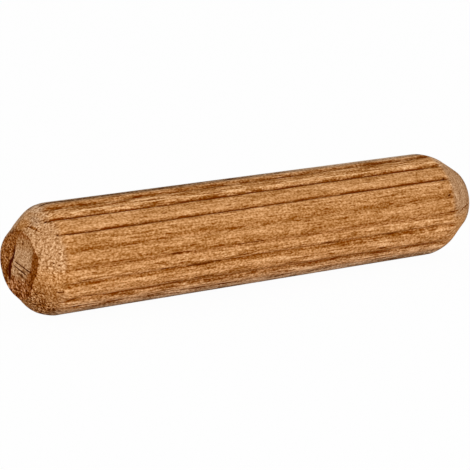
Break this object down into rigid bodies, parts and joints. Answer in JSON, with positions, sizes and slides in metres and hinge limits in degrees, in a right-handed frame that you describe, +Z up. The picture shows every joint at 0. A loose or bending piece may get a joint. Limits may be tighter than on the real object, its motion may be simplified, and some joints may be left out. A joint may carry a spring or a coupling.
{
  "type": "fluted dowel pin",
  "caption": "Round wooden dowel pin with straight flutes along its body and a rounded chamfer at each end, for glued joints.",
  "frame": {"origin": "on the surface the pin lies on, straight below the middle of its length", "axes": "+X along the pin towards its longer chamfer, +Z up, with the lowest flute on the surface"},
  "size_m": [0.04, 0.008, 0.008],
  "materials": {
    "beech": "bare"
  },
  "bodies": {
    "root": {"dowel_pin": "beech"}
  },
  "joints": []
}
